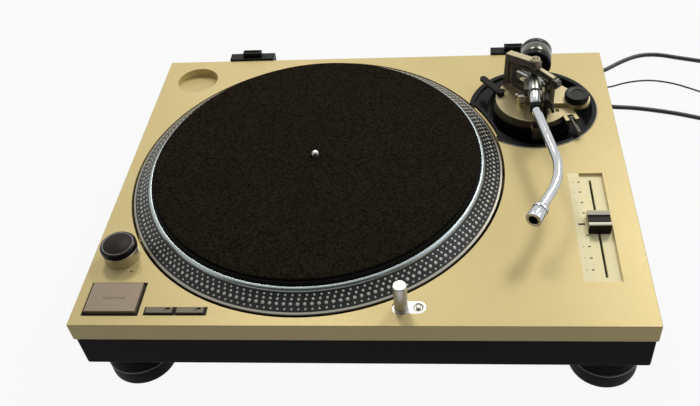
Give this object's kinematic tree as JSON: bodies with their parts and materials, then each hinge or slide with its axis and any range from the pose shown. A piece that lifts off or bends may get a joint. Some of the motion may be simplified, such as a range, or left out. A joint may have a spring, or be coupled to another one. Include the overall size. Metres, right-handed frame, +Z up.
{
  "type": "record turntable",
  "caption": "Direct drive record turntable with an S-shaped tonearm, felt slipmat, pitch slider, pop-up target light and damped screw feet, without lid, headshell or cartridge.",
  "frame": {"origin": "middle of the bounding box's bottom, on the floor that the feet stand on", "axes": "+Z up, +Y to the back where the cords leave, +X to the right where the tonearm stands"},
  "size_m": [0.726, 0.5187, 0.1528],
  "materials": {
    "plate": "satin",
    "tray": "matte",
    "black_plastic": "matte",
    "gloss_black": "gloss",
    "steel": "brushed",
    "chrome": "polished",
    "aluminium": "polished",
    "copper": "satin",
    "board": "satin",
    "mat_rubber": "matte",
    "foot_rubber": "matte",
    "felt": "felt",
    "cap": "satin",
    "lamp": "clear",
    "panel": "satin",
    "turret": "satin",
    "grey_metal": "satin",
    "magnet": "matte",
    "cord": "satin"
  },
  "bodies": {
    "cabinet": {"top_plate": "plate", "base_cabinet": "tray", "base_screws": "steel", "motor_frame": "steel", "stator": "copper", "spindle_bearing": "steel", "power_supply": "board", "switch_board": "board", "strobe_tower": "black_plastic", "strobe_window": "lamp", "button_frames": "black_plastic", "speed_lamps": "lamp", "light_guide": "steel", "pitch_panel": "panel", "pitch_fader": "steel", "arm_well": "gloss_black", "hinge_holders": "black_plastic", "rear_connectors": "black_plastic", "phono_lead_upper": "cord", "phono_coil_upper": "cord", "phono_lead_lower": "cord", "phono_coil_lower": "cord", "ground_wire": "cord", "ground_coil": "cord", "phono_plugs": "black_plastic", "ground_lug": "steel"},
    "platter": {"platter": "aluminium", "spindle_shaft": "chrome", "rotor_magnet": "magnet", "rubber_mat": "mat_rubber"},
    "arm_base": {"arm_base": "turret", "arm_rest": "black_plastic", "yoke": "grey_metal"},
    "gimbal": {"inner_gimbal": "grey_metal"},
    "tonearm": {"tube_holder": "black_plastic", "arm_tube": "chrome"},
    "slipmat": {"slipmat": "felt"},
    "start_stop_button": {"start_stop_button": "cap"},
    "speed_button_33": {"speed_button_33": "cap"},
    "speed_button_45": {"speed_button_45": "cap"},
    "power_knob": {"power_knob": "black_plastic"},
    "target_light": {"target_light": "steel"},
    "light_button": {"light_button": "steel"},
    "pitch_knob": {"pitch_knob": "black_plastic"},
    "height_ring": {"height_ring": "turret"},
    "arm_lock_lever": {"arm_lock_lever": "black_plastic"},
    "antiskate_dial": {"antiskate_dial": "black_plastic"},
    "cue_lever": {"cue_lever": "grey_metal"},
    "lift_bar": {"lift_bar": "grey_metal"},
    "arm_rest_clip": {"arm_rest_clip": "grey_metal"},
    "headshell_collar": {"headshell_collar": "chrome"},
    "counterweight_bush": {"counterweight_bush": "steel"},
    "counterweight": {"counterweight": "chrome"},
    "stylus_pressure_dial": {"stylus_pressure_dial": "black_plastic"},
    "hinge_leaf_left": {"hinge_leaf_left": "steel"},
    "hinge_leaf_right": {"hinge_leaf_right": "steel"},
    "foot_front_left": {"foot_front_left": "foot_rubber"},
    "foot_front_right": {"foot_front_right": "foot_rubber"},
    "foot_rear_left": {"foot_rear_left": "foot_rubber"},
    "foot_rear_right": {"foot_rear_right": "foot_rubber"}
  },
  "joints": [
    {"name": "platter_spin", "type": "hinge", "parent": "cabinet", "child": "platter", "pos_m": [-0.048, -0.006, 0.094], "axis": [0, 0, 1], "continuous": true},
    {"name": "slipmat_slip", "type": "hinge", "parent": "platter", "child": "slipmat", "pos_m": [-0.048, -0.006, 0.11], "axis": [0, 0, 1], "continuous": true},
    {"name": "start_stop_press", "type": "slide", "parent": "cabinet", "child": "start_stop_button", "axis": [0, 0, -1], "range_m": [0, 0.0025], "stiffness_N_per_m": 500, "springref_m": -0.0015},
    {"name": "speed_press_33", "type": "slide", "parent": "cabinet", "child": "speed_button_33", "axis": [0, 0, -1], "range_m": [0, 0.0015], "stiffness_N_per_m": 300, "springref_m": -0.001},
    {"name": "speed_press_45", "type": "slide", "parent": "cabinet", "child": "speed_button_45", "axis": [0, 0, -1], "range_m": [0, 0.0015], "stiffness_N_per_m": 300, "springref_m": -0.001},
    {"name": "power_turn", "type": "hinge", "parent": "cabinet", "child": "power_knob", "pos_m": [-0.201, -0.111, 0.107], "axis": [0, 0, 1], "range_deg": [0, 60]},
    {"name": "light_rise", "type": "slide", "parent": "cabinet", "child": "target_light", "axis": [0, 0, 1], "range_m": [-0.0255, 0], "stiffness_N_per_m": 40, "springref_m": 0.01},
    {"name": "light_release", "type": "slide", "parent": "cabinet", "child": "light_button", "axis": [0, 0, -1], "range_m": [0, 0.0015], "stiffness_N_per_m": 100, "springref_m": -0.001},
    {"name": "pitch_slide", "type": "slide", "parent": "cabinet", "child": "pitch_knob", "axis": [0, 1, 0], "range_m": [-0.0508, 0.0508]},
    {"name": "height_turn", "type": "hinge", "parent": "cabinet", "child": "height_ring", "pos_m": [0.1509, 0.0797, 0.094], "axis": [0, 0, 1], "range_deg": [0, 330]},
    {"name": "arm_height", "type": "slide", "parent": "cabinet", "child": "arm_base", "axis": [0, 0, 1], "range_m": [0, 0.006]},
    {"name": "lock_turn", "type": "hinge", "parent": "arm_base", "child": "arm_lock_lever", "pos_m": [0.1206, 0.0865, 0.107], "axis": [0, 0, -1], "range_deg": [0, 26]},
    {"name": "antiskate_turn", "type": "hinge", "parent": "arm_base", "child": "antiskate_dial", "pos_m": [0.1916, 0.078, 0.108], "axis": [0, 0, 1], "range_deg": [0, 300]},
    {"name": "cue_turn", "type": "hinge", "parent": "arm_base", "child": "cue_lever", "pos_m": [0.1845, 0.0546, 0.1002], "axis": [-0.9628, -0.2703, 0], "range_deg": [0, 60]},
    {"name": "lift_rise", "type": "slide", "parent": "arm_base", "child": "lift_bar", "axis": [0, 0, 1], "range_m": [0, 0.003]},
    {"name": "clip_turn", "type": "hinge", "parent": "arm_base", "child": "arm_rest_clip", "pos_m": [0.15848, 0.04275, 0.1326], "axis": [-0.0523, -0.9986, 0], "range_deg": [0, 232]},
    {"name": "arm_swing", "type": "hinge", "parent": "arm_base", "child": "gimbal", "pos_m": [0.1509, 0.0797, 0.128], "axis": [0, 0, -1], "range_deg": [0, 44]},
    {"name": "arm_tilt", "type": "hinge", "parent": "gimbal", "child": "tonearm", "pos_m": [0.1509, 0.0797, 0.128], "axis": [-0.7193, 0.6947, 0], "range_deg": [-2.5, 11]},
    {"name": "collar_turn", "type": "hinge", "parent": "tonearm", "child": "headshell_collar", "pos_m": [0.1442, -0.0902, 0.128], "axis": [-0.4695, -0.8829, 0], "range_deg": [0, 90]},
    {"name": "bush_travel", "type": "slide", "parent": "tonearm", "child": "counterweight_bush", "axis": [0.1132, 0.9936, 0], "range_m": [-0.0025, 0.01]},
    {"name": "weight_turn", "type": "hinge", "parent": "counterweight_bush", "child": "counterweight", "pos_m": [0.1509, 0.0797, 0.128], "axis": [0.1132, 0.9936, 0], "range_deg": [-360, 1440]},
    {"name": "dial_turn", "type": "hinge", "parent": "counterweight", "child": "stylus_pressure_dial", "pos_m": [0.1509, 0.0797, 0.128], "axis": [0.1132, 0.9936, 0], "range_deg": [-180, 180]},
    {"name": "hinge_tilt_left", "type": "hinge", "parent": "cabinet", "child": "hinge_leaf_left", "pos_m": [-0.1385, 0.178, 0.088], "axis": [-1, 0, 0], "range_deg": [0, 70]},
    {"name": "hinge_tilt_right", "type": "hinge", "parent": "cabinet", "child": "hinge_leaf_right", "pos_m": [0.1385, 0.178, 0.088], "axis": [-1, 0, 0], "range_deg": [0, 70]},
    {"name": "foot_screw_front_left", "type": "slide", "parent": "cabinet", "child": "foot_front_left", "axis": [0, 0, -1], "range_m": [0, 0.01]},
    {"name": "foot_screw_front_right", "type": "slide", "parent": "cabinet", "child": "foot_front_right", "axis": [0, 0, -1], "range_m": [0, 0.01]},
    {"name": "foot_screw_rear_left", "type": "slide", "parent": "cabinet", "child": "foot_rear_left", "axis": [0, 0, -1], "range_m": [0, 0.01]},
    {"name": "foot_screw_rear_right", "type": "slide", "parent": "cabinet", "child": "foot_rear_right", "axis": [0, 0, -1], "range_m": [0, 0.01]}
  ],
  "couplings": [
    {"joint": "arm_height", "follows": "height_turn", "m_per_rad": 0.0010415},
    {"joint": "cue_turn", "follows": "lift_rise", "rad_per_m": 349},
    {"joint": "weight_turn", "follows": "bush_travel", "rad_per_m": 2513.2}
  ]
}
